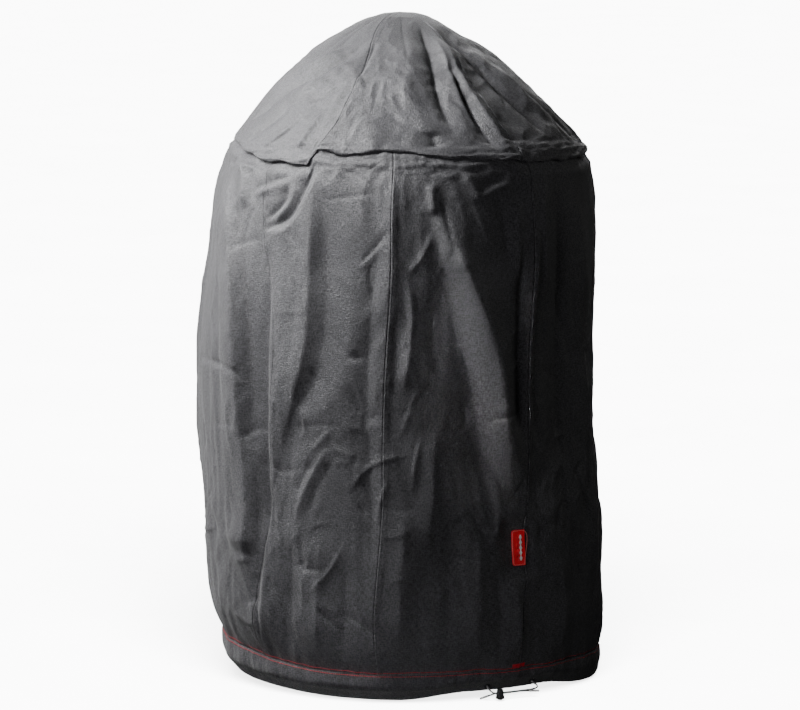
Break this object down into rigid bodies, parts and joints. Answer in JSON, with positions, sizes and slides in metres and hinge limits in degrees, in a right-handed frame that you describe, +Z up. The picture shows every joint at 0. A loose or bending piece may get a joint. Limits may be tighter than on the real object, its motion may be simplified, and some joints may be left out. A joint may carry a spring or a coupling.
{
  "type": "grill cover",
  "caption": "Dark fabric cover for a round kettle or kamado grill: a sewn gored crown on a long panelled skirt, with a drawcord hem, a spring cord lock and a small red side label.",
  "frame": {"origin": "middle of the flat seat under the crown's inner patch, where the cover rests on the grill's lid", "axes": "+Z up along the cover's axis, -Y towards the front, +X to the right seen from the front"},
  "size_m": [0.6576, 0.6446, 1.0918],
  "materials": {
    "cloth": "coated polyester canvas, matt",
    "lining": "coated tape and lining cloth, satin",
    "thread": "dense polyester thread",
    "cord": "braided cord",
    "cord_lock": "moulded, satin",
    "spring": "bright wire",
    "eyelet": "blackened, satin",
    "cord_tip": "heat-shrunk sheath",
    "label": "soft moulded, satin",
    "label_mark": "soft moulded, satin"
  },
  "bodies": {
    "cover": {"cord_tip_left": "cord_tip", "cord_tip_right": "cord_tip", "crown_gore_back_left": "cloth", "crown_gore_back_right": "cloth", "crown_gore_front": "cloth", "crown_gore_left": "cloth", "crown_gore_right": "cloth", "crown_patch": "lining", "crown_seam_tape_1": "lining", "crown_seam_tape_2": "lining", "crown_seam_tape_3": "lining", "crown_seam_tape_4": "lining", "crown_seam_tape_5": "lining", "drawcord_in_hem": "cord", "drawcord_left_end": "cord", "drawcord_right_end": "cord", "eyelet_left": "eyelet", "eyelet_right": "eyelet", "hem_bartack": "thread", "hem_casing": "cloth", "hem_stitch_lower": "thread", "hem_stitch_upper": "thread", "shoulder_binding": "lining", "skirt_panel_back_left": "cloth", "skirt_panel_back_right": "cloth", "skirt_panel_front_left": "cloth", "skirt_panel_front_right": "cloth", "skirt_panel_left_back": "cloth", "skirt_panel_left_front": "cloth", "skirt_panel_right_back": "cloth", "skirt_panel_right_front": "cloth", "skirt_seam_tape_1": "lining", "skirt_seam_tape_2": "lining", "skirt_seam_tape_3": "lining", "skirt_seam_tape_4": "lining", "skirt_seam_tape_5": "lining", "skirt_seam_tape_6": "lining", "skirt_seam_tape_7": "lining", "skirt_seam_tape_8": "lining"},
    "label": {"label_tab": "label", "label_mark": "label_mark"},
    "cord_lock": {"cord_lock_body": "cord_lock", "cord_lock_spring": "spring"},
    "lock_plunger": {"cord_lock_plunger": "cord_lock"}
  },
  "joints": [
    {"name": "lock_slide", "type": "slide", "parent": "cover", "child": "cord_lock", "axis": [0.8499, 0.527, 0], "range_m": [0, 0.03]},
    {"name": "plunger_press", "type": "slide", "parent": "cord_lock", "child": "lock_plunger", "axis": [0, 0, 1], "range_m": [0, 0.0016], "stiffness_N_per_m": 700, "springref_m": -0.003, "deforming": ["cord_lock_spring"]},
    {"name": "label_flap", "type": "hinge", "parent": "cover", "child": "label", "pos_m": [0.20001, -0.25788, -0.8405], "axis": [-0.0363, 0, 0.9993], "range_deg": [0, 150], "stiffness_Nm_per_rad": 0.0006}
  ]
}
